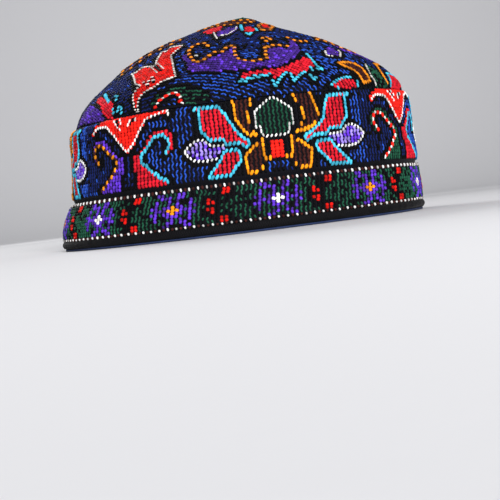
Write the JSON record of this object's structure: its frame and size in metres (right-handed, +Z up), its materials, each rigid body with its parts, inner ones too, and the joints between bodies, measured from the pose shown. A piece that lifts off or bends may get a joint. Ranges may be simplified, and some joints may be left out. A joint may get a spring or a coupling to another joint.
{
  "type": "embroidered skullcap",
  "caption": "Soft round skullcap with a peaked dome crown, an upright embroidered wall, a flared patterned band and a bound rim, worn on the head.",
  "frame": {"origin": "centre of the rim, on the surface that the cap rests on", "axes": "+Z up to the peak, +X to the wearer's front, -Y to the wearer's right"},
  "size_m": [0.185, 0.185, 0.1078],
  "materials": {
    "crown_embroidery": "satin stitched thread",
    "wall_embroidery": "satin stitched thread",
    "band_embroidery": "satin stitched thread",
    "binding_cloth": "matte cotton",
    "lining_cloth": "matte cotton"
  },
  "bodies": {
    "root": {"crown": "crown_embroidery", "side_wall": "wall_embroidery", "band": "band_embroidery", "rim_binding": "binding_cloth", "lining_hem": "lining_cloth"}
  },
  "joints": []
}
